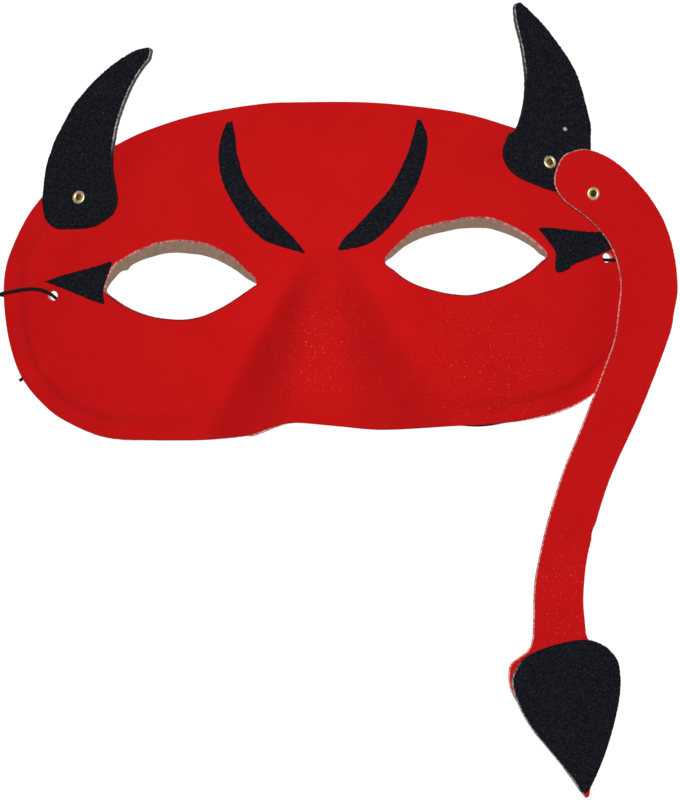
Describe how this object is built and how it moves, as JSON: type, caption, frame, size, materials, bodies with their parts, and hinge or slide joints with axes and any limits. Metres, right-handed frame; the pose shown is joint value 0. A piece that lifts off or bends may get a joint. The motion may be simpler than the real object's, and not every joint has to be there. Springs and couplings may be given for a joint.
{
  "type": "devil eye mask",
  "caption": "Half mask pressed in red fabric with almond eye openings, dark brows, swinging cut horns, a long spade tipped tail and a thin elastic.",
  "frame": {"origin": "centre of the bounding box of the mask, horns and tail, on the surface that the mask lies on", "axes": "+Z out of the mask's face, +Y towards its brow and horns, +X to the right of someone who looks at the face"},
  "size_m": [0.1954, 0.2298, 0.0485],
  "materials": {
    "red_cloth": "smooth red cloth with a short nap, pressed over a stiff backing",
    "black_cloth": "matt black cloth on a stiff backing",
    "eyelet_brass": "pale bright brass",
    "black_elastic": "thin braided black elastic"
  },
  "bodies": {
    "mask": {"mask_shell": "red_cloth", "brow_left": "black_cloth", "brow_right": "black_cloth", "eye_flash_left": "black_cloth", "eye_flash_right": "black_cloth", "eyelet_horn_left": "eyelet_brass", "eyelet_horn_right": "eyelet_brass", "eyelet_tail": "eyelet_brass", "elastic": "black_elastic", "elastic_end": "black_elastic", "elastic_knot_left": "black_elastic", "elastic_knot_right": "black_elastic"},
    "left_horn": {"horn_left": "black_cloth"},
    "right_horn": {"horn_right": "black_cloth"},
    "tail_body": {"tail": "red_cloth", "spade_patch": "black_cloth"}
  },
  "joints": [
    {"name": "left_horn_turn", "type": "hinge", "parent": "mask", "child": "left_horn", "pos_m": [-0.0719, 0.0668, 0.01211], "axis": [-0.4123, 0.2405, 0.8787], "range_deg": [-35, 20]},
    {"name": "right_horn_turn", "type": "hinge", "parent": "mask", "child": "right_horn", "pos_m": [0.0615, 0.0674, 0.01259], "axis": [0.4027, 0.2446, 0.882], "range_deg": [-3, 30]},
    {"name": "tail_swing", "type": "hinge", "parent": "mask", "child": "tail_body", "pos_m": [0.0737, 0.0583, 0.01344], "axis": [0.3698, -0.0925, 0.9245], "range_deg": [-6, 40]}
  ]
}
